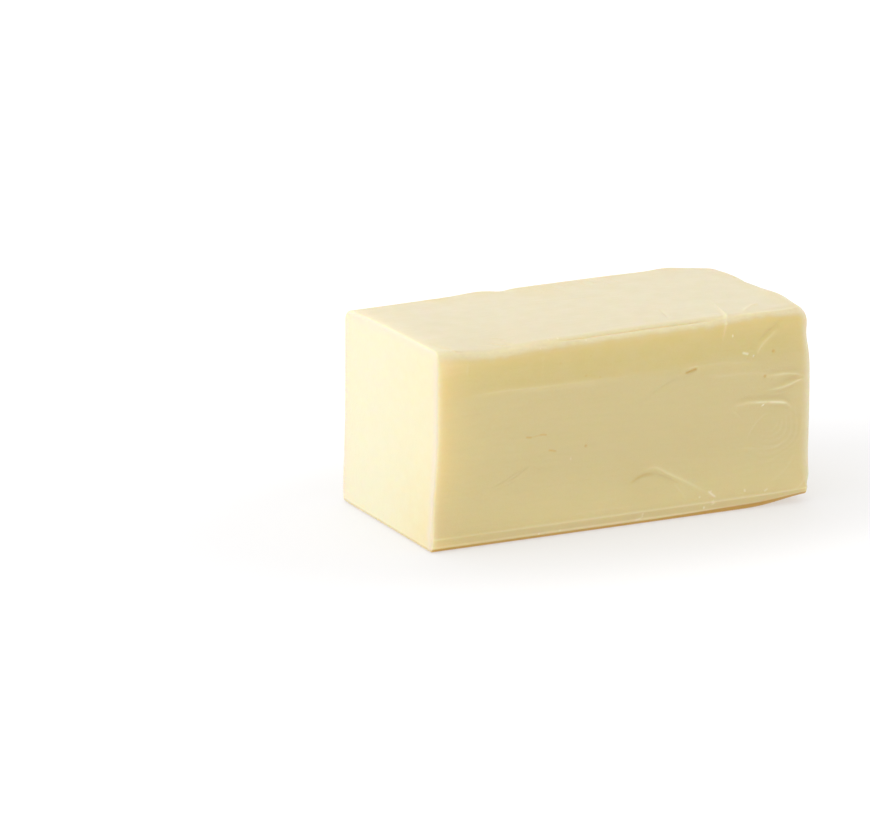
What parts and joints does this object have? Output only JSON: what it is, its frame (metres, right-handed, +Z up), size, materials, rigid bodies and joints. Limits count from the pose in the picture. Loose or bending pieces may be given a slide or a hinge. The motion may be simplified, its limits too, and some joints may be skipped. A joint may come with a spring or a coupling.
{
  "type": "mozzarella block",
  "caption": "Square block of low-moisture mozzarella with one end cut clean and the other as it was packed, for slicing or grating.",
  "frame": {"origin": "centre of the bounding box at the level of the flat base", "axes": "+X along the length, from the cut end to the packed end; +Z up; the near long side faces -Y"},
  "size_m": [0.2028, 0.0986, 0.0955],
  "materials": {
    "cheese": "semi-moist, waxy"
  },
  "bodies": {
    "root": {"mozzarella_block": "cheese"}
  },
  "joints": []
}
